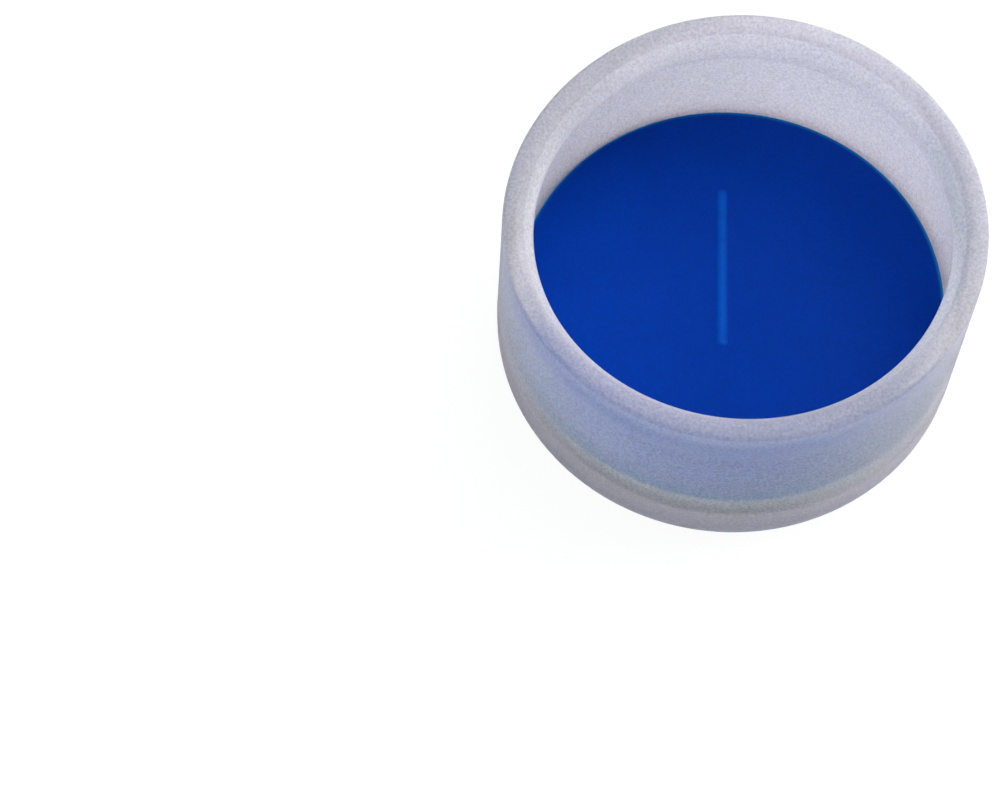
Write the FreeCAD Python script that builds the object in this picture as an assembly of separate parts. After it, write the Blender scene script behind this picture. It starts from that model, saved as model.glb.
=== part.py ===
import FreeCAD, Part
import math
import os

os.makedirs("parts", exist_ok=True)

# Every length is in millimetres. The origin is the centre of the crown's outer face, and +Z runs along the cap's
# axis towards the open mouth, so the cap stands on its crown as it does in the photograph. +Y runs along the slit.

# Lip of the vial that the cap snaps over
vial_lip_diameter = 10.8
vial_lip_height = 3.2

# Fits: the lip is free in the pocket, and the bead grips under it
lip_clearance = 0.15
lip_snap = 0.3

# Sealing disc: silicone with a film laminated to it, pressed into a seat a little narrower than the pocket
silicone_thickness = 0.9
film_thickness = 0.1
seat_step = 0.05
seat_height_over_film = 0.08

# Walls of the shell, outside the pocket
crown_thickness = 1.1
shoulder_wall = 0.45
rim_wall = 0.31
shoulder_height = 1.2
crown_edge_round = 0.8

# Bead inside the mouth, from the pocket up to the rim
bead_back_height = 0.45
bead_back_round = 0.15
bead_land = 0.4
bead_round = 0.12
lead_in_height = 0.5
lead_in_width = 0.34
mouth_round = 0.08
rim_edge_round = 0.12

# Dished centre of the crown, and the needle hole in its floor
hole_radius = 2.85
hole_edge_round = 0.16
dish_floor_width = 0.7
dish_slope_width = 0.7
dish_depth = 0.42
dish_floor_round = 0.1
dish_edge_round = 0.22

# Slit through the sealing disc, cut a little off centre, and the lips that the blade raised beside it on the film
slit_length = 4.45
slit_width = 0.07
slit_centre_x = -0.16
slit_centre_y = 0.85
lip_width = 0.11
lip_height = 0.035
lip_overrun = 0.075

# Sizes that follow from those above
pocket_radius = vial_lip_diameter / 2 + lip_clearance
bead_radius = vial_lip_diameter / 2 - lip_snap
disc_radius = pocket_radius - seat_step
shoulder_radius = pocket_radius + shoulder_wall
rim_radius = pocket_radius + rim_wall
mouth_radius = bead_radius + lead_in_width
dish_floor_radius = hole_radius + dish_floor_width
dish_radius = dish_floor_radius + dish_slope_width
silicone_top = crown_thickness + silicone_thickness
film_top = silicone_top + film_thickness
seat_top = film_top + seat_height_over_film
bead_bottom = film_top + vial_lip_height
bead_top = bead_bottom + bead_land
cap_height = bead_top + lead_in_height


def at(radius, height):
    return FreeCAD.Vector(radius, 0, height)


def rounded_corner(before, corner, after, radius):
    """Start, arc and end of the round that replaces one corner of a section."""
    point = at(*corner)
    towards_before = (at(*before) - point).normalize()
    towards_after = (at(*after) - point).normalize()
    half_angle = towards_before.getAngle(towards_after) / 2
    reach = radius / math.tan(half_angle)
    inwards = (towards_before + towards_after).normalize()
    centre = point + inwards * (radius / math.sin(half_angle))
    start = point + towards_before * reach
    end = point + towards_after * reach
    return start, Part.Arc(start, centre - inwards * radius, end).toShape(), end


def revolved_section(corners):
    """Solid of revolution about Z from section corners, each given as radius, height and rounding."""
    count = len(corners)
    bends = []
    for index, (radius, height, rounding) in enumerate(corners):
        if rounding > 0:
            before = corners[index - 1][:2]
            after = corners[(index + 1) % count][:2]
            bends.append(rounded_corner(before, (radius, height), after, rounding))
        else:
            bends.append((at(radius, height), None, at(radius, height)))
    edges = []
    for index, (_, arc, end) in enumerate(bends):
        if arc is not None:
            edges.append(arc)
        edges.append(Part.makeLine(end, bends[(index + 1) % count][0]))
    section = Part.Face(Part.Wire(edges))
    return section.revolve(FreeCAD.Vector(0, 0, 0), FreeCAD.Vector(0, 0, 1), 360)


def cap_shell():
    """Moulded shell: crown with its dish and hole, skirt, and the bead that snaps under the vial's lip."""
    return revolved_section([
        (hole_radius, crown_thickness, 0),
        (hole_radius, dish_depth, hole_edge_round),
        (dish_floor_radius, dish_depth, dish_floor_round),
        (dish_radius, 0, dish_edge_round),
        (shoulder_radius, 0, crown_edge_round),
        (shoulder_radius, shoulder_height, 0),
        (rim_radius, cap_height, rim_edge_round),
        (mouth_radius, cap_height, mouth_round),
        (bead_radius, bead_top, bead_round),
        (bead_radius, bead_bottom, bead_round),
        (pocket_radius, bead_bottom - bead_back_height, bead_back_round),
        (pocket_radius, seat_top + seat_step, 0),
        (disc_radius, seat_top, 0),
        (disc_radius, crown_thickness, 0),
    ])


def slit_lens(bottom, top, width, length):
    """Upright body along Y whose plan is a lens, pointed at both ends of the slit."""
    near = FreeCAD.Vector(slit_centre_x, slit_centre_y - length / 2, bottom)
    far = FreeCAD.Vector(slit_centre_x, slit_centre_y + length / 2, bottom)
    left = FreeCAD.Vector(slit_centre_x - width / 2, slit_centre_y, bottom)
    right = FreeCAD.Vector(slit_centre_x + width / 2, slit_centre_y, bottom)
    outline = Part.Wire([Part.Arc(near, left, far).toShape(), Part.Arc(far, right, near).toShape()])
    return Part.Face(outline).extrude(FreeCAD.Vector(0, 0, top - bottom))


def slit_blade():
    """Space that the slit takes in both layers of the sealing disc, with a margin above and below."""
    return slit_lens(crown_thickness - film_thickness, film_top + lip_height + film_thickness, slit_width, slit_length)


def layer(bottom, thickness):
    return Part.makeCylinder(disc_radius, thickness, FreeCAD.Vector(0, 0, bottom))


def silicone_disc():
    """White silicone layer, which lies on the inside of the crown."""
    return layer(crown_thickness, silicone_thickness).cut(slit_blade())


def ptfe_facing():
    """Blue film laminated to the silicone, with the raised lips of the slit."""
    lips = slit_lens(silicone_top, film_top + lip_height, slit_width + 2 * lip_width, slit_length + 2 * lip_overrun)
    return layer(silicone_top, film_thickness).fuse(lips).cut(slit_blade()).removeSplitter()


for name, shape in (
    ("cap_shell", cap_shell()),
    ("silicone_disc", silicone_disc()),
    ("ptfe_facing", ptfe_facing()),
):
    shape.Solids[0].exportStep("parts/" + name + ".step")
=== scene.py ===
import math

import bmesh
import bpy
from bpy.props import FloatProperty, FloatVectorProperty, IntProperty, PointerProperty
from mathutils import Matrix, Vector, noise


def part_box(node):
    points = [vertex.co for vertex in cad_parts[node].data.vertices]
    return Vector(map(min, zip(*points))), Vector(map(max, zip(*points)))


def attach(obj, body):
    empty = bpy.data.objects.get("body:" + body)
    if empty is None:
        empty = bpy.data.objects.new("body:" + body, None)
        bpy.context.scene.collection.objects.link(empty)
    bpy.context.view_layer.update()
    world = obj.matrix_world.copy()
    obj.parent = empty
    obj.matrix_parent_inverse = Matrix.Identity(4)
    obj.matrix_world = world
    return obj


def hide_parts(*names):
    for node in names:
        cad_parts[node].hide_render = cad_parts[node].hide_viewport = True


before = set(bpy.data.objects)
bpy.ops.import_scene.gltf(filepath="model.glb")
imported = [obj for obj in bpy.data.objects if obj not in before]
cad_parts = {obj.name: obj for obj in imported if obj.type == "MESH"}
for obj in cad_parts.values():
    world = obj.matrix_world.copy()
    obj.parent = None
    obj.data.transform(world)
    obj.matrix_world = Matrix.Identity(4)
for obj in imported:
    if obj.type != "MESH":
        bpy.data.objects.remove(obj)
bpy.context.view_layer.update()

bl_info = {
    "name": "Snap ring vial cap",
    "version": (1, 0, 0),
    "blender": (4, 5, 0),
    "location": "3D View > Sidebar > Vial cap",
    "description": "Moulded cap with its slit sealing disc, and a pale stage to see it on",
    "category": "Object",
}

MM = 0.001
SHARP_EDGE = math.radians(50.0)

# Places of the moulded cap's materials in its list
CROWN = 0
WALL = 1
RIM = 2
POCKET = 3
BEAD = 4

# Steps around a rounded corner of a section, and the length of the steps along a straight stretch
ROUND_STEPS = 10
SECTION_STEP = 0.25 * MM

# Where the rim's finish ends on the lead-in, from the rim's inner edge
RIM_END_INWARDS = 0.1 * MM
RIM_END_DOWN = 0.147 * MM

# Drift of the cap's walls: how many waves run around it, and how high one is
DRIFT_WAVES = 1.3
DRIFT_HEIGHT = 4 * MM

# How narrow the side is on which the mouth is drawn in
LEAN_FALL = 3

# Rings of each layer of the disc from the slit to the edge, and how closely they crowd at the slit
SILICONE_RINGS = 24
SILICONE_CROWDING = 2.2
FILM_RINGS = 60
FILM_CROWDING = 2.6

# Camera: width of its sensor in its own unit, and the nearest and farthest that it sees
SENSOR_WIDTH = 36.0
NEAREST = 1.0 * MM
FARTHEST = 10.0

# Fineness of the specks in every material of the cap
SPECKS_PER_MM = 14.0

# Lips of the slit: how ragged they are, the length of the raggedness, and how steeply they fall
RAGGED_SHARE = 0.35
RAGGED_LENGTH = 0.35 * MM
LIP_FALL = 1.5

_, shell_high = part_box("cap_shell")
silicone_low, silicone_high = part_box("silicone_disc")


def length(name, description, default):
    """Property that holds a length in metres."""
    return FloatProperty(name=name, description=description, default=default, unit="LENGTH", precision=6)


def colour(name, description, default):
    """Property that holds a colour."""
    return FloatVectorProperty(
        name=name, description=description, default=default, subtype="COLOR", size=3, min=0.0, max=1.0
    )


def share(name, description, default, high=1.0):
    """Property that holds a share, or a strength where its highest value is above 1."""
    return FloatProperty(
        name=name, description=description, default=default, min=0.0, max=high, subtype="FACTOR"
    )


class ShellSizes(bpy.types.PropertyGroup):
    """Section of the moulded cap, crown down and mouth up"""

    shoulder_radius: length("Shoulder radius", "Widest radius, near the crown", shell_high.x)
    height: length("Height", "From the crown's face to the rim", shell_high.z)
    crown_thickness: length("Crown thickness", "From the crown's face to the disc's seat", silicone_low.z)
    seat_radius: length("Seat radius", "Radius that holds the sealing disc", silicone_high.x)
    rim_radius: length("Rim radius", "Outer radius at the mouth", 5.86 * MM)
    shoulder_height: length("Shoulder height", "Height at which the skirt starts to narrow", 1.2 * MM)
    crown_round: length("Crown edge round", "Rounding between crown and skirt", 0.8 * MM)
    rim_round: length("Rim edge round", "Rounding of the rim's outer edge", 0.12 * MM)
    pocket_radius: length("Pocket radius", "Radius of the pocket for the vial's lip", 5.55 * MM)
    seat_height: length("Seat height", "Height at which the seat opens into the pocket", 2.1 * MM)
    seat_lead: length("Seat lead", "Height over which the pocket narrows to the seat", 0.9 * MM)
    bead_radius: length("Bead radius", "Radius at the crest of the bead", 5.1 * MM)
    bead_bottom: length("Bead bottom", "Height of the crest's lower edge", 5.3 * MM)
    bead_top: length("Bead top", "Height of the crest's upper edge", 5.7 * MM)
    bead_back: length("Bead back", "Height of the slope behind the bead", 0.45 * MM)
    bead_back_round: length("Bead back round", "Rounding where the bead's slope meets the pocket", 0.6 * MM)
    bead_round: length("Bead round", "Rounding of the bead's edges", 0.4 * MM)
    mouth_radius: length("Mouth radius", "Inner radius of the rim's face", 5.44 * MM)
    mouth_round: length("Mouth round", "Rounding of the rim's inner edge", 0.25 * MM)
    thin_low: length("Thin wall, low", "Height at which the disc no longer backs the wall", 1.7 * MM)
    thin_high: length("Thin wall, high", "Height at which the bead starts to back the wall", 5.0 * MM)
    # The face and side blend heights bound the crown's painted shade; the plain blend heights lead from it
    # into the thin wall's painted blue.
    face_blend_low: length("Face blend, low", "Height up to which the crown has its face's colour", 0.45 * MM)
    face_blend_high: length(
        "Face blend, high", "Height from which the crown has its side's colour", 0.95 * MM
    )
    blend_low: length("Blend, low", "Height up to which the crown's colour is seen alone", 1.5 * MM)
    blend_high: length("Blend, high", "Height from which the wall's colour is seen alone", 2.5 * MM)
    bead_blend_low: length("Bead blend, low", "Height up to which the wall keeps its own colour", 4.3 * MM)
    bead_blend_high: length("Bead blend, high", "Height from which the wall has the bead's colour", 5.6 * MM)
    hole_radius: length("Hole radius", "Radius of the needle hole", 2.85 * MM)
    hole_round: length("Hole edge round", "Rounding of the hole's outer edge", 0.16 * MM)
    dish_floor_radius: length("Dish floor radius", "Radius of the flat part of the dish", 3.55 * MM)
    dish_radius: length("Dish radius", "Radius of the dish's outer edge", 4.25 * MM)
    dish_depth: length("Dish depth", "Depth of the dish in the crown", 0.42 * MM)
    dish_floor_round: length("Dish floor round", "Rounding between the dish's floor and its slope", 0.1 * MM)
    dish_round: length("Dish edge round", "Rounding of the dish's outer edge", 0.22 * MM)
    wobble: length("Wobble", "How far shrinkage draws the walls out of true", 0.012 * MM)
    lean: length("Lean", "How far the mouth is drawn in on one side", 0.19 * MM)
    lean_side: FloatProperty(
        name="Lean side", description="Direction from the axis to the side that is drawn in",
        default=math.radians(143.0), subtype="ANGLE",
    )
    segments: IntProperty(name="Segments", description="Faces around the cap", default=288, min=48)


class DiscSizes(bpy.types.PropertyGroup):
    """Sealing disc: silicone with a thin film on the side that faces the vial"""

    radius: length("Radius", "Radius of both layers", silicone_high.x)
    silicone_bottom: length("Silicone bottom", "Height of the silicone's lower face", silicone_low.z)
    silicone_top: length("Silicone top", "Height at which the film starts", silicone_high.z)
    film_thickness: length("Film thickness", "Thickness of the film away from the slit", 0.1 * MM)
    lip_height: length("Lip height", "How far the slit's lips stand over the film", 0.035 * MM)
    lip_width: length("Lip width", "Width of the lip on each side of the slit", 0.17 * MM)
    slit_length: length("Slit length", "Length of the slit", 4.3 * MM)
    slit_width: length("Slit width", "Gap at the slit's middle on the silicone side", 0.07 * MM)
    film_slit_width: length("Film slit width", "Gap at the slit's middle in the film", 0.002 * MM)
    slit_x: length("Slit x", "Place of the slit's middle across the disc", -0.19 * MM)
    slit_y: length("Slit y", "Place of the slit's middle along the slit", 0.8 * MM)
    segments: IntProperty(name="Segments", description="Faces around the disc", default=256, min=48)


class Finishes(bpy.types.PropertyGroup):
    """Colours of the cap's materials"""

    face: colour("Crown's face", "Polyethylene of the crown's outer face", (0.90, 0.89, 0.92))
    # Painted shade: the crown's side gets a much darker tone than its face, standing in for the shade on the
    # lower skirt.
    crown: colour("Crown's side", "Thick polyethylene beside the sealing disc", (0.58, 0.55, 0.58))
    # Painted light: this cyan tone stands in for the film's blue light glowing through the thin wall.
    painted_blue_wall: colour("Thin wall", "Thin polyethylene, cooler than the thick", (0.85, 0.96, 1.0))
    # Faintly blue as well: painted blue light of the film on the pocket's face.
    pocket: colour("Pocket", "Polished polyethylene inside the pocket", (0.94, 0.96, 1.0))
    bead: colour("Bead", "Polyethylene of the bead and the lead-in", (0.92, 0.92, 0.96))
    # Painted shade: the rim's face gets a darker tone than the wall, holding back the light that falls on it.
    rim: colour("Rim", "Polyethylene of the rim's face", (0.78, 0.76, 0.80))
    silicone: colour("Silicone", "White silicone", (0.72, 0.70, 0.69))
    film: colour("Film", "Blue film", (0.0002, 0.026, 0.242))
    # A paler, greener ring along the film's edge, placed by the two distances below.
    film_edge: colour("Film edge", "Punched edge of the film", (0.01, 0.15, 0.36))
    film_edge_start: length("Film edge, start", "From the edge to where its colour starts", 0.1 * MM)
    film_edge_full: length("Film edge, full", "From the edge to where its colour is full", 0.02 * MM)
    film_lip: colour("Film lip", "Stretched film beside the slit", (0.001, 0.06, 0.35))
    cloud: share("Cloud", "Brightness of the cloudy places in the polyethylene", 0.95)
    silicone_cloud: share("Cloud, silicone", "Brightness of the cloudy places in the silicone", 0.93)
    film_cloud: share("Cloud, film", "How much the clouds darken the film", 0.15)
    film_speck: share("Speck, film", "How much the fine specks darken the film", 0.12)
    speck: share("Speck", "How much the fine specks darken the polyethylene", 0.42)
    see_through_crown: share("See-through, crown", "Share of light that passes the thick crown", 0.52)
    see_through_wall: share("See-through, wall", "Share of light that passes the thin wall", 0.80)
    see_through_pocket: share("See-through, pocket", "Share of light that passes the pocket's face", 0.86)
    see_through_bead: share("See-through, bead", "Share of light that passes the bead", 0.72)
    see_through_rim: share("See-through, rim", "Share of light that passes the rim's face", 0.76)


class StageSettings(bpy.types.PropertyGroup):
    """Camera, lamps and floor"""

    focal_length: FloatProperty(
        name="Focal length", description="Lens of the camera", default=74.4, unit="CAMERA"
    )
    eye: FloatVectorProperty(
        name="Eye", description="Place of the camera", default=(-3.896 * MM, -24.675 * MM, 49.533 * MM),
        subtype="TRANSLATION", size=3, precision=6,
    )
    aim: FloatVectorProperty(
        name="Aim", description="Point on the floor in the middle of the picture",
        default=(-5.85 * MM, -2.12 * MM, 0.0), subtype="TRANSLATION", size=3, precision=6,
    )
    roll: FloatProperty(
        name="Roll", description="Turn of the camera about its line of sight", default=-0.046, subtype="ANGLE"
    )
    sky: share("Sky", "Strength of the even light from all round", 0.8, 5.0)
    sky_tone: colour("Sky tone", "Colour of the even light", (0.75, 0.94, 1.0))
    key_power: FloatProperty(
        name="Key power", description="Power of the large lamp", default=0.55, unit="POWER"
    )
    lamp_tone: colour("Lamp tone", "Colour of both lamps", (1.0, 0.92, 0.92))
    key_place: FloatVectorProperty(
        name="Key place", description="Place of the large lamp, behind the cap and to its right",
        default=(0.08, 0.1, 0.14), subtype="TRANSLATION", size=3,
    )
    key_size: length("Key size", "Width of the large lamp", 0.2)
    side_power: FloatProperty(
        name="Side power", description="Power of the low lamp", default=0.22, unit="POWER"
    )
    side_place: FloatVectorProperty(
        name="Side place", description="Place of the low lamp, to the right of the cap",
        default=(0.15, 0.02, 0.085), subtype="TRANSLATION", size=3,
    )
    side_size: length("Side size", "Width of the low lamp", 0.06)
    far_tone: colour(
        "Far tone", "Colour of the surroundings as they show through the cap", (0.66, 0.65, 0.70)
    )
    floor_tone: colour("Floor tone", "Colour of the floor as it shows through the cap", (1.0, 0.83, 0.88))
    floor_share: share("Floor share", "How bright the floor shows through the cap", 0.8)
    floor_reach: length("Floor reach", "From the middle of the floor to its sides", 0.3)
    floor_shade: colour("Floor shade", "Colour that the floor casts on the cap", (0.34, 0.44, 0.57))
    shadow_share: share("Shadow share", "How much of the floor's own shading the camera sees", 0.06)


def settings():
    """Settings of the scene that is open."""
    return bpy.context.scene.vial_cap


class CapSettings(bpy.types.PropertyGroup):
    """Everything that a user may change"""

    shell: PointerProperty(type=ShellSizes, name="Shell", description="Sizes of the moulded cap")
    disc: PointerProperty(type=DiscSizes, name="Sealing disc", description="Sizes of the sealing disc")
    finishes: PointerProperty(type=Finishes, name="Finishes", description="Colours of the materials")
    stage: PointerProperty(type=StageSettings, name="Stage", description="Camera, lamps and floor")


def arc_points(before, corner, after, radius):
    """Points of the round that replaces one corner of a section."""
    towards_before = (before - corner).normalized()
    towards_after = (after - corner).normalized()
    half_angle = towards_before.angle(towards_after) / 2
    inwards = (towards_before + towards_after).normalized()
    centre = corner + inwards * (radius / math.sin(half_angle))
    start = corner + towards_before * (radius / math.tan(half_angle)) - centre
    end = corner + towards_after * (radius / math.tan(half_angle)) - centre
    sweep = start.angle_signed(end)
    turns = [-sweep * step / ROUND_STEPS for step in range(ROUND_STEPS + 1)]
    return [centre + Matrix.Rotation(turn, 2) @ start for turn in turns]


def rounded_section(corners):
    """Closed outline in radius and height, and the finish of the stretch that starts at each of its points.

    A corner is radius, height, rounding and the finish of the stretch that follows it."""
    places = [Vector(corner[:2]) for corner in corners]
    outline = []
    finishes = []
    for index, (_, _, rounding, finish) in enumerate(corners):
        place = places[index]
        if rounding > 0:
            bend = arc_points(places[index - 1], place, places[(index + 1) % len(places)], rounding)
        else:
            bend = [place]
        if outline:
            straight = divided(outline[-1], bend[0])
            outline += straight
            finishes += [corners[index - 1][3]] * len(straight)
        outline += bend
        finishes += [finish] * len(bend)
    straight = divided(outline[-1], outline[0])
    return outline + straight, finishes + [corners[-1][3]] * len(straight)


def divided(start, end):
    """Points between two ends, about one step apart."""
    count = max(1, round((end - start).length / SECTION_STEP))
    return [start.lerp(end, step / count) for step in range(1, count)]


def loft(rings, finishes=None):
    """Closed mesh of quads between rings that all have as many points, the last joined to the first."""
    mesh = bmesh.new()
    rows = [[mesh.verts.new(point) for point in ring] for ring in rings]
    count = len(rows[0])
    for index, lower in enumerate(rows):
        upper = rows[(index + 1) % len(rows)]
        for place in range(count):
            following = (place + 1) % count
            face = mesh.faces.new((lower[place], lower[following], upper[following], upper[place]))
            if finishes:
                face.material_index = finishes[index]
    bmesh.ops.recalc_face_normals(mesh, faces=mesh.faces)
    return mesh


def finished_object(name, mesh, materials, node):
    """Object from a mesh, smooth shaded, standing for one node of the frame and riding with it."""
    data = bpy.data.meshes.new(name)
    mesh.to_mesh(data)
    mesh.free()
    data.shade_smooth()
    data.set_sharp_from_angle(angle=SHARP_EDGE)
    for material in materials:
        data.materials.append(material)
    piece = bpy.data.objects.new(name, data)
    bpy.context.scene.collection.objects.link(piece)
    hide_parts(node)
    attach(piece, "root")
    return piece


def node_tree(name):
    """New material that uses nodes, with its tree and its shader."""
    material = bpy.data.materials.new(name)
    material.use_nodes = True
    return material, material.node_tree, material.node_tree.nodes["Principled BSDF"]


def give(tree, socket, value):
    """Set an input to a plain value, or link it where the value is another node's output."""
    if isinstance(value, bpy.types.NodeSocket):
        tree.links.new(value, socket)
    else:
        socket.default_value = value


def add(tree, kind, **values):
    """Node of one kind, with its properties and inputs set or linked by name."""
    node = tree.nodes.new(kind)
    for key, value in values.items():
        if hasattr(node, key):
            setattr(node, key, value)
        else:
            give(tree, node.inputs[key.replace("_", " ")], value)
    return node


def opaque(tone):
    """Colour with its fourth channel, which stands for a solid one."""
    return (*tone, 1.0)


def mixed(tree, first, second, factor, blend_type="MIX"):
    """Colour mixed from two, each of them plain or an output, by a factor that is plain or an output."""
    node = add(tree, "ShaderNodeMix", data_type="RGBA", blend_type=blend_type)
    give(tree, node.inputs["A"], first)
    give(tree, node.inputs["B"], second)
    give(tree, node.inputs["Factor"], factor)
    return node.outputs["Result"]


def new_group(name, inputs, outputs):
    """Empty node group with plain numbers as inputs and outputs, and its two ends."""
    group = bpy.data.node_groups.new(name, "ShaderNodeTree")
    for label in inputs:
        group.interface.new_socket(name=label, in_out="INPUT", socket_type="NodeSocketFloat")
    for label in outputs:
        group.interface.new_socket(name=label, in_out="OUTPUT", socket_type="NodeSocketFloat")
    return group, group.nodes.new("NodeGroupInput").outputs, group.nodes.new("NodeGroupOutput").inputs


def surface_grain():
    """Group that all materials of the cap share: height of a grain, slow clouds, roughness and specks."""
    name = "surface grain"
    if name in bpy.data.node_groups:
        return bpy.data.node_groups[name]
    inputs = ("Grain per mm", "Cloud per mm", "Roughness base", "Roughness spread", "Speck low", "Speck high")
    group, given, results = new_group(name, inputs, ("Height", "Cloud", "Roughness", "Speck"))
    place = group.nodes.new("ShaderNodeTexCoord")
    scaled = add(group, "ShaderNodeVectorMath", operation="SCALE", Scale=1.0 / MM)
    give(group, scaled.inputs[0], place.outputs["Object"])
    in_mm = scaled.outputs["Vector"]
    grain = add(
        group, "ShaderNodeTexNoise", Vector=in_mm, Scale=given["Grain per mm"], Detail=4.0, Roughness=0.65
    ).outputs["Fac"]
    cloud = add(
        group, "ShaderNodeTexNoise", Vector=in_mm, Scale=given["Cloud per mm"], Detail=3.0, Roughness=0.5
    )
    fine = add(group, "ShaderNodeTexNoise", Vector=in_mm, Scale=SPECKS_PER_MM, Detail=2.0, Roughness=0.7)
    roughness = add(group, "ShaderNodeMath", operation="MULTIPLY_ADD")
    for socket, value in zip(roughness.inputs, (grain, given["Roughness spread"], given["Roughness base"])):
        give(group, socket, value)
    speck = add(
        group, "ShaderNodeMapRange", Value=fine.outputs["Fac"],
        From_Min=given["Speck low"], From_Max=given["Speck high"],
    )
    give(group, results["Height"], grain)
    give(group, results["Cloud"], cloud.outputs["Fac"])
    give(group, results["Roughness"], roughness.outputs[0])
    give(group, results["Speck"], speck.outputs["Result"])
    return group


def height_share():
    """Group that puts out how far up a point of the cap lies between two heights, from 0 to 1."""
    name = "height share"
    if name in bpy.data.node_groups:
        return bpy.data.node_groups[name]
    group, given, results = new_group(name, ("Low", "High"), ("Share",))
    place = group.nodes.new("ShaderNodeTexCoord")
    parts = add(group, "ShaderNodeSeparateXYZ", Vector=place.outputs["Object"])
    climb = add(
        group, "ShaderNodeMapRange", interpolation_type="SMOOTHSTEP", Value=parts.outputs["Z"],
        From_Min=given["Low"], From_Max=given["High"],
    )
    give(group, results["Share"], climb.outputs["Result"])
    return group


def group_node(tree, group, **values):
    """Node that uses a group, with the values of its inputs set by name."""
    node = tree.nodes.new("ShaderNodeGroup")
    node.node_tree = group
    for label, value in values.items():
        node.inputs[label.replace("_", " ")].default_value = value
    return node


def add_bump(tree, shader, grain, strength, depth):
    """Let the grain's height roughen the surface."""
    bump = add(tree, "ShaderNodeBump", Strength=strength, Distance=depth, Height=grain.outputs["Height"])
    tree.links.new(bump.outputs["Normal"], shader.inputs["Normal"])


def specked(tree, tone, grain, factor):
    """Colour darkened by the grain's fine specks."""
    return mixed(tree, tone, grain.outputs["Speck"], factor, "MULTIPLY")


def shell_material(
    name, low_tone, high_tone, see_through, speck_span=0.2, roughness=0.36, bump_strength=0.15, gloss=0.0
):
    """Natural polyethylene: milky, lets light and a little of the film's blue through.

    Upwards its colour goes from the crown's face to the crown's side, which is painted shade, then to the low
    tone, and at the bead to the high tone. The thin wall's tone among these is painted blue light of the
    film."""
    finishes = settings().finishes
    sizes = settings().shell
    material, tree, shader = node_tree(name)
    grain = group_node(
        tree, surface_grain(), Grain_per_mm=11.0, Cloud_per_mm=0.5, Roughness_base=roughness,
        Roughness_spread=0.12, Speck_low=0.5 - speck_span, Speck_high=0.5 + speck_span,
    )
    # Tones by height: the crown's side is painted shade, and where the low tone is the thin wall's, it is
    # painted blue light of the film.
    tone = opaque(finishes.face)
    for low, high, next_tone in (
        (sizes.face_blend_low, sizes.face_blend_high, finishes.crown),
        (sizes.blend_low, sizes.blend_high, low_tone),
        (sizes.bead_blend_low, sizes.bead_blend_high, high_tone),
    ):
        climb = group_node(tree, height_share(), Low=low, High=high)
        tone = mixed(tree, tone, opaque(next_tone), climb.outputs["Share"])
    fade = add(tree, "ShaderNodeMapRange", Value=grain.outputs["Cloud"], From_Min=0.35, From_Max=0.75)
    tone = mixed(tree, tone, opaque([finishes.cloud] * 3), fade.outputs["Result"], "MULTIPLY")
    give(tree, shader.inputs["Base Color"], specked(tree, tone, grain, finishes.speck))
    give(tree, shader.inputs["Roughness"], grain.outputs["Roughness"])
    add_bump(tree, shader, grain, bump_strength, 0.01 * MM)
    # Lower than in the real plastic, so that the walls look even and milky
    shader.inputs["IOR"].default_value = 1.12
    shader.inputs["Subsurface Weight"].default_value = 1.0
    shader.inputs["Subsurface Radius"].default_value = (1.0, 1.1, 1.4)
    shader.inputs["Subsurface Scale"].default_value = 2.0 * MM
    shader.inputs["Transmission Weight"].default_value = see_through
    shader.inputs["Coat Weight"].default_value = gloss
    shader.inputs["Coat Roughness"].default_value = 0.25
    return material


def silicone_material():
    """White silicone: dull and slightly soft to light."""
    finishes = settings().finishes
    material, tree, shader = node_tree("white silicone")
    grain = group_node(
        tree, surface_grain(), Grain_per_mm=8.0, Cloud_per_mm=0.7, Roughness_base=0.55, Roughness_spread=0.2
    )
    cloudy = [channel * finishes.silicone_cloud for channel in finishes.silicone]
    tone = mixed(tree, opaque(finishes.silicone), opaque(cloudy), grain.outputs["Cloud"])
    give(tree, shader.inputs["Base Color"], tone)
    give(tree, shader.inputs["Roughness"], grain.outputs["Roughness"])
    add_bump(tree, shader, grain, 0.3, 0.012 * MM)
    shader.inputs["Subsurface Weight"].default_value = 0.4
    shader.inputs["Subsurface Radius"].default_value = (1.0, 0.95, 0.9)
    shader.inputs["Subsurface Scale"].default_value = 0.4 * MM
    return material


def film_material():
    """Blue film: smooth, paler in a ring along its edge and where the blade stretched it beside the slit."""
    finishes = settings().finishes
    edge = settings().disc.radius
    material, tree, shader = node_tree("blue film")
    grain = group_node(
        tree, surface_grain(), Grain_per_mm=6.0, Cloud_per_mm=0.45, Roughness_base=0.38,
        Roughness_spread=0.14, Speck_low=0.4, Speck_high=0.6,
    )
    place = tree.nodes.new("ShaderNodeTexCoord")
    flat = add(tree, "ShaderNodeVectorMath", operation="MULTIPLY")
    give(tree, flat.inputs[0], place.outputs["Object"])
    give(tree, flat.inputs[1], (1.0, 1.0, 0.0))
    radius = add(tree, "ShaderNodeVectorMath", operation="LENGTH")
    give(tree, radius.inputs[0], flat.outputs["Vector"])
    rim = add(
        tree, "ShaderNodeMapRange", Value=radius.outputs["Value"],
        From_Min=edge - finishes.film_edge_start, From_Max=edge - finishes.film_edge_full,
    )
    stretched = add(tree, "ShaderNodeVertexColor", layer_name="stretch")
    tone = mixed(tree, opaque(finishes.film), opaque(finishes.film_edge), rim.outputs["Result"])
    tone = mixed(tree, tone, opaque(finishes.film_lip), stretched.outputs["Color"])
    tone = mixed(tree, tone, grain.outputs["Cloud"], finishes.film_cloud, "MULTIPLY")
    give(tree, shader.inputs["Base Color"], specked(tree, tone, grain, finishes.film_speck))
    give(tree, shader.inputs["Roughness"], grain.outputs["Roughness"])
    add_bump(tree, shader, grain, 0.2, 0.008 * MM)
    shader.inputs["Specular IOR Level"].default_value = 0.01
    return material


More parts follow.
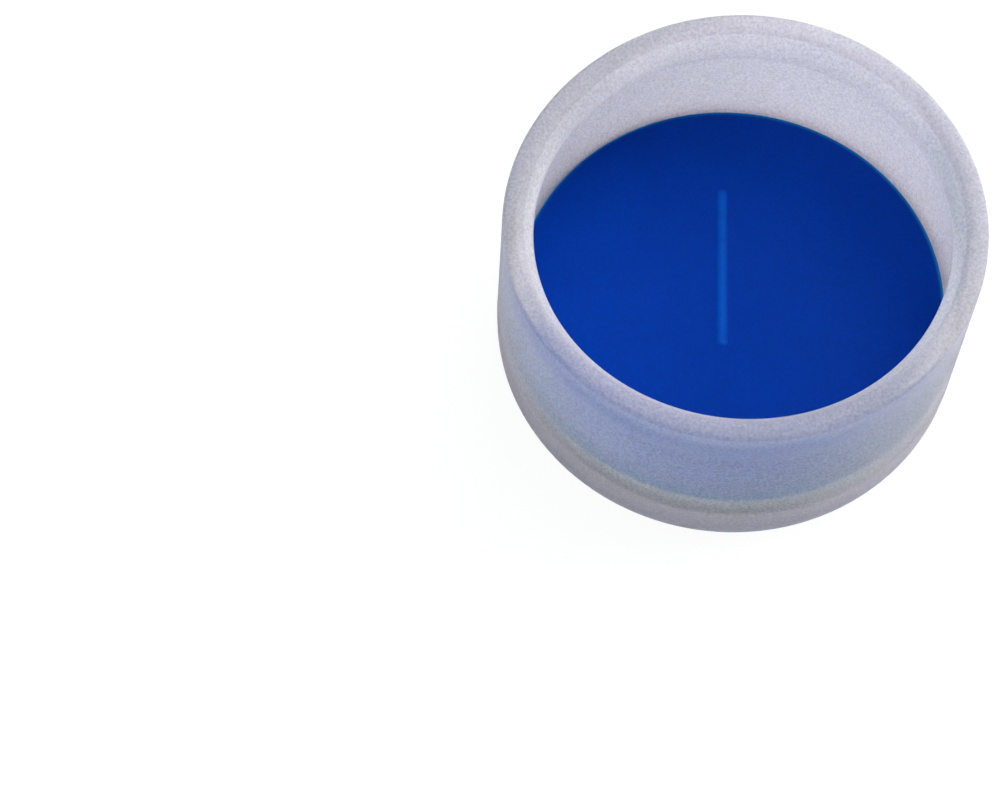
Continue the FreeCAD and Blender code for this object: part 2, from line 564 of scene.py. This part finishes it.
def shell_section(sizes):
    """Corners of the moulded cap's section: radius, height, rounding and finish."""
    taper = (sizes.rim_radius - sizes.shoulder_radius) / (sizes.height - sizes.shoulder_height)

    def skirt(height):
        return sizes.shoulder_radius + taper * (height - sizes.shoulder_height)

    return [
        (sizes.hole_radius, sizes.crown_thickness, 0, CROWN),
        (sizes.hole_radius, sizes.dish_depth, sizes.hole_round, CROWN),
        (sizes.dish_floor_radius, sizes.dish_depth, sizes.dish_floor_round, CROWN),
        (sizes.dish_radius, 0, sizes.dish_round, CROWN),
        (sizes.shoulder_radius, 0, sizes.crown_round, CROWN),
        (sizes.shoulder_radius, sizes.shoulder_height, 0, CROWN),
        (skirt(sizes.thin_low), sizes.thin_low, 0, WALL),
        (skirt(sizes.thin_high), sizes.thin_high, 0, BEAD),
        (sizes.rim_radius, sizes.height, sizes.rim_round, RIM),
        (sizes.mouth_radius, sizes.height, sizes.mouth_round, RIM),
        (sizes.mouth_radius - RIM_END_INWARDS, sizes.height - RIM_END_DOWN, 0, BEAD),
        (sizes.bead_radius, sizes.bead_top, sizes.bead_round, BEAD),
        (sizes.bead_radius, sizes.bead_bottom, sizes.bead_round, BEAD),
        (sizes.pocket_radius, sizes.bead_bottom - sizes.bead_back, sizes.bead_back_round, POCKET),
        (sizes.pocket_radius, sizes.seat_height + sizes.seat_lead, 0, POCKET),
        (sizes.seat_radius, sizes.seat_height, 0, WALL),
        (sizes.seat_radius, sizes.crown_thickness, 0, CROWN),
    ]


def out_of_true(sizes, radius, height, angle):
    """Point of the shell, with the slow drift of a moulded wall and a mouth that is drawn in on one side."""
    spin = Vector((math.cos(angle), math.sin(angle)))
    drift = noise.noise(Vector((spin.x * DRIFT_WAVES, spin.y * DRIFT_WAVES, height / DRIFT_HEIGHT)))
    up = max(0.0, (height - sizes.shoulder_height) / (sizes.height - sizes.shoulder_height))
    facing = max(0.0, math.cos(angle - sizes.lean_side))
    grown = radius - sizes.wobble * (0.5 + 0.5 * drift) - sizes.lean * up * facing ** LEAN_FALL
    return Vector((spin.x * grown, spin.y * grown, height))


class VIALCAP_OT_shell(bpy.types.Operator):
    """Build the moulded cap"""

    bl_idname = "vialcap.shell"
    bl_label = "Moulded cap"

    def execute(self, context):
        sizes = settings().shell
        finishes = settings().finishes
        outline, finish_numbers = rounded_section(shell_section(sizes))
        angles = [2 * math.pi * step / sizes.segments for step in range(sizes.segments)]
        rings = [[out_of_true(sizes, place.x, place.y, angle) for angle in angles] for place in outline]
        # The crown, wall and bead materials take the thin wall's tone, which carries painted blue light of
        # the film.
        materials = [
            shell_material(
                "polyethylene, crown", finishes.painted_blue_wall, finishes.painted_blue_wall, finishes.see_through_crown
            ),
            shell_material(
                "polyethylene, wall", finishes.painted_blue_wall, finishes.bead, finishes.see_through_wall,
                speck_span=0.11,
            ),
            # The rim's darker tone is painted shade.
            shell_material("polyethylene, rim", finishes.rim, finishes.rim, finishes.see_through_rim),
            shell_material(
                "polyethylene, pocket", finishes.pocket, finishes.bead, finishes.see_through_pocket,
                speck_span=0.16, roughness=0.3, bump_strength=0.1, gloss=0.3,
            ),
            shell_material(
                "polyethylene, bead", finishes.painted_blue_wall, finishes.bead, finishes.see_through_bead
            ),
        ]
        mesh = loft(rings, finish_numbers)
        finished_object("moulded_cap", mesh, materials, "cap_shell")
        return {"FINISHED"}


def slit_ring(sizes, share_out, width, height):
    """Ring that is the slit's outline at share 0 and the disc's edge at share 1."""
    ring = []
    for step in range(sizes.segments):
        angle = 2 * math.pi * step / sizes.segments
        slit = Vector((
            sizes.slit_x + width / 2 * math.cos(angle),
            sizes.slit_y + sizes.slit_length / 2 * math.sin(angle),
        ))
        edge = Vector((math.cos(angle), math.sin(angle))) * sizes.radius
        place = slit.lerp(edge, share_out)
        ring.append(Vector((place.x, place.y, height)))
    return ring


def spread_shares(count, power):
    """Shares from the slit out to the edge, close together at the slit."""
    return [(step / count) ** power for step in range(count + 1)]


class VIALCAP_OT_silicone(bpy.types.Operator):
    """Build the silicone layer of the sealing disc"""

    bl_idname = "vialcap.silicone"
    bl_label = "Silicone layer"

    def execute(self, context):
        sizes = settings().disc
        shares = spread_shares(SILICONE_RINGS, SILICONE_CROWDING)
        rings = [slit_ring(sizes, s, sizes.slit_width, sizes.silicone_bottom) for s in shares]
        rings += [slit_ring(sizes, s, sizes.slit_width, sizes.silicone_top) for s in reversed(shares)]
        mesh = loft(rings)
        finished_object("silicone_layer", mesh, [silicone_material()], "silicone_disc")
        return {"FINISHED"}


class VIALCAP_OT_film(bpy.types.Operator):
    """Build the blue film with the raised lips of its slit"""

    bl_idname = "vialcap.film"
    bl_label = "Blue film"

    def execute(self, context):
        sizes = settings().disc
        shares = spread_shares(FILM_RINGS, FILM_CROWDING)
        flat_top = sizes.silicone_top + sizes.film_thickness
        rings = [slit_ring(sizes, s, sizes.film_slit_width, sizes.silicone_top) for s in shares]
        rise = []
        for s in reversed(shares):
            ring = slit_ring(sizes, s, sizes.film_slit_width, flat_top)
            for point in ring:
                lift = self.lip(sizes, point)
                point.z += lift * sizes.lip_height
                rise.append(lift)
            rings.append(ring)
        mesh = loft(rings)
        layer = mesh.verts.layers.float_color.new("stretch")
        mesh.verts.ensure_lookup_table()
        below = len(shares) * sizes.segments
        for index, lift in enumerate(rise):
            mesh.verts[below + index][layer] = (lift, lift, lift, 1.0)
        finished_object("blue_film", mesh, [film_material()], "ptfe_facing")
        return {"FINISHED"}

    def lip(self, sizes, point):
        """How high the lip stands at a point of the film, from 0 to 1."""
        across = abs(point.x - sizes.slit_x)
        beyond = max(0.0, abs(point.y - sizes.slit_y) - sizes.slit_length / 2)
        distance = math.hypot(across, beyond) / sizes.lip_width
        ragged = 1.0 + RAGGED_SHARE * noise.noise(Vector((0.0, point.y / RAGGED_LENGTH, 0.0)))
        return max(0.0, 1.0 - distance ** 2) ** LIP_FALL * min(1.0, ragged)


def area_lamp(name, place, size, power, tone):
    """Round lamp that faces the middle of the cap."""
    data = bpy.data.lights.new(name, "AREA")
    data.shape = "DISK"
    data.size = size
    data.energy = power
    data.color = tone
    lamp = bpy.data.objects.new(name, data)
    lamp.location = place
    target = Vector((0, 0, shell_high.z / 2))
    lamp.rotation_euler = (target - Vector(place)).to_track_quat("-Z", "Y").to_euler()
    bpy.context.scene.collection.objects.link(lamp)


def calculated(tree, operation, first, second):
    """Result of one operation on two numbers, each of them plain or an output."""
    node = add(tree, "ShaderNodeMath", operation=operation)
    give(tree, node.inputs[0], first)
    give(tree, node.inputs[1], second)
    return node.outputs[0]


def white_ground(tree, shading, camera_share, cap_share, cap_tone):
    """Mix a pale light into a ground.

    It is plain white for the camera, and toned for the rays that the cap bends or mirrors."""
    path = tree.nodes.new("ShaderNodeLightPath")
    for_camera = calculated(tree, "MULTIPLY", path.outputs["Is Camera Ray"], camera_share)
    for_mirrored = calculated(tree, "MULTIPLY", path.outputs["Is Glossy Ray"], cap_share)
    for_bent = calculated(tree, "MULTIPLY", path.outputs["Is Transmission Ray"], cap_share)
    greatest = calculated(tree, "MAXIMUM", calculated(tree, "MAXIMUM", for_camera, for_mirrored), for_bent)
    tone = mixed(tree, opaque(cap_tone), opaque((1.0, 1.0, 1.0)), path.outputs["Is Camera Ray"])
    white = add(tree, "ShaderNodeEmission", Strength=1.0, Color=tone)
    mix = tree.nodes.new("ShaderNodeMixShader")
    give(tree, mix.inputs["Fac"], greatest)
    give(tree, mix.inputs[1], shading)
    give(tree, mix.inputs[2], white.outputs["Emission"])
    return path, mix


class VIALCAP_OT_stage(bpy.types.Operator):
    """Set up the floor, the lamps and the camera"""

    bl_idname = "vialcap.stage"
    bl_label = "Stage"

    def execute(self, context):
        stage = settings().stage
        self.floor(stage)
        self.world(stage)
        area_lamp("key", stage.key_place, stage.key_size, stage.key_power, stage.lamp_tone)
        area_lamp("side", stage.side_place, stage.side_size, stage.side_power, stage.lamp_tone)
        self.camera(stage)
        context.scene.view_settings.view_transform = "Standard"
        return {"FINISHED"}

    def floor(self, stage):
        """Wide flat floor under the cap."""
        reach = stage.floor_reach
        data = bpy.data.meshes.new("floor")
        corners = [(-reach, -reach, 0), (reach, -reach, 0), (reach, reach, 0), (-reach, reach, 0)]
        data.from_pydata(corners, [], [(0, 1, 2, 3)])
        floor = bpy.data.objects.new("floor", data)
        bpy.context.scene.collection.objects.link(floor)
        material, tree, shader = node_tree("pale floor")
        shader.inputs["Roughness"].default_value = 0.8
        camera_share = 1.0 - stage.shadow_share
        path, mix = white_ground(
            tree, shader.outputs["BSDF"], camera_share, stage.floor_share, stage.floor_tone
        )
        seen = path.outputs["Is Camera Ray"]
        shade = mixed(tree, opaque(stage.floor_shade), opaque((1.0, 1.0, 1.0)), seen)
        give(tree, shader.inputs["Base Color"], shade)
        tree.links.new(mix.outputs["Shader"], tree.nodes["Material Output"].inputs["Surface"])
        data.materials.append(material)

    def world(self, stage):
        """Even light from all round, with a plain background."""
        world = bpy.data.worlds.new("even sky")
        world.use_nodes = True
        tree = world.node_tree
        sky = tree.nodes["Background"]
        sky.inputs["Color"].default_value = opaque(stage.sky_tone)
        sky.inputs["Strength"].default_value = stage.sky
        _, mix = white_ground(tree, sky.outputs["Background"], 1.0, 1.0, stage.far_tone)
        tree.links.new(mix.outputs["Shader"], tree.nodes["World Output"].inputs["Surface"])
        bpy.context.scene.world = world

    def camera(self, stage):
        """Camera at the eye, turned to the aim and then rolled."""
        data = bpy.data.cameras.new("camera")
        data.lens = stage.focal_length
        data.sensor_width = SENSOR_WIDTH
        data.clip_start = NEAREST
        data.clip_end = FARTHEST
        camera = bpy.data.objects.new("camera", data)
        bpy.context.scene.collection.objects.link(camera)
        eye = Vector(stage.eye)
        sight = (Vector(stage.aim) - eye).normalized()
        right = sight.cross(Vector((0, 0, 1))).normalized()
        up = right.cross(sight)
        turned_right = right * math.cos(stage.roll) + up * math.sin(stage.roll)
        turned_up = up * math.cos(stage.roll) - right * math.sin(stage.roll)
        camera.matrix_world = Matrix((
            (turned_right.x, turned_up.x, -sight.x, eye.x),
            (turned_right.y, turned_up.y, -sight.y, eye.y),
            (turned_right.z, turned_up.z, -sight.z, eye.z),
            (0, 0, 0, 1),
        ))
        bpy.context.scene.camera = camera


class VIALCAP_PT_panel(bpy.types.Panel):
    """Builds the vial cap step by step"""

    bl_label = "Vial cap"
    bl_idname = "VIALCAP_PT_panel"
    bl_space_type = "VIEW_3D"
    bl_region_type = "UI"
    bl_category = "Vial cap"

    def draw(self, context):
        for operator in OPERATORS:
            self.layout.operator(operator.bl_idname)


GROUPS = (ShellSizes, DiscSizes, Finishes, StageSettings, CapSettings)
OPERATORS = (VIALCAP_OT_shell, VIALCAP_OT_silicone, VIALCAP_OT_film, VIALCAP_OT_stage)
CLASSES = GROUPS + OPERATORS + (VIALCAP_PT_panel,)


def register():
    for kind in CLASSES:
        bpy.utils.register_class(kind)
    bpy.types.Scene.vial_cap = PointerProperty(type=CapSettings)


def unregister():
    del bpy.types.Scene.vial_cap
    for kind in reversed(CLASSES):
        bpy.utils.unregister_class(kind)


def main():
    register()
    bpy.ops.vialcap.shell()
    bpy.ops.vialcap.silicone()
    bpy.ops.vialcap.film()
    bpy.ops.vialcap.stage()


if __name__ == "__main__":
    main()
